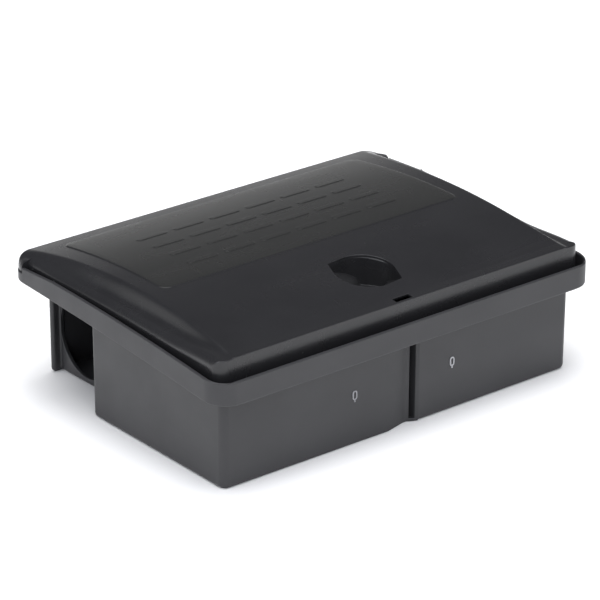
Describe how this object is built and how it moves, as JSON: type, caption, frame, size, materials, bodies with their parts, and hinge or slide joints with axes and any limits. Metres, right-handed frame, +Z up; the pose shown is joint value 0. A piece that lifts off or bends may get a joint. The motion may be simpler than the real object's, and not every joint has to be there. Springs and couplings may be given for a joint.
{
  "type": "bait station",
  "caption": "Lockable rodent bait station: tub with side entrances and back tunnel, hinged crowned lid, spring latch under a key well, baffle, lift-out trays and rods.",
  "frame": {"origin": "middle of the underside, under the centre of the overall box", "axes": "+X to the right seen from the front, +Y towards the hinges and the tunnel, +Z up"},
  "size_m": [0.24, 0.1756, 0.0781],
  "materials": {
    "tub": "fine matte moulded polypropylene, dark grey",
    "lid": "satin to glossy moulded polypropylene, near black",
    "latch": "smooth moulded acetal, black",
    "tray": "smooth moulded polypropylene, dark grey",
    "steel": "zinc plated steel wire"
  },
  "bodies": {
    "base": {"base_tub": "tub", "baffle_plate": "tub", "hinge_pin_left": "steel", "hinge_pin_right": "steel"},
    "lid": {"lid": "lid", "latch_housing": "latch", "latch_spring": "steel", "latch_screw_left": "steel", "latch_screw_right": "steel"},
    "latch": {"latch_slider": "latch"},
    "tray_left": {"bait_tray_left": "tray", "bait_rod_left_front": "steel", "bait_rod_left_rear": "steel"},
    "tray_right": {"bait_tray_right": "tray", "bait_rod_right_front": "steel", "bait_rod_right_rear": "steel"}
  },
  "joints": [
    {"name": "lid_hinge", "type": "hinge", "parent": "base", "child": "lid", "pos_m": [0, 0.0854, 0.0665], "axis": [-1, 0, 0], "range_deg": [0, 105]},
    {"name": "latch_release", "type": "slide", "parent": "lid", "child": "latch", "axis": [0, 1, 0], "range_m": [0, 0.0052], "stiffness_N_per_m": 300, "springref_m": -0.008, "deforming": ["latch_spring"]},
    {"name": "tray_left_lift", "type": "slide", "parent": "base", "child": "tray_left", "axis": [0, 0, 1], "range_m": [0, 0.018]},
    {"name": "tray_right_lift", "type": "slide", "parent": "base", "child": "tray_right", "axis": [0, 0, 1], "range_m": [0, 0.018]}
  ]
}
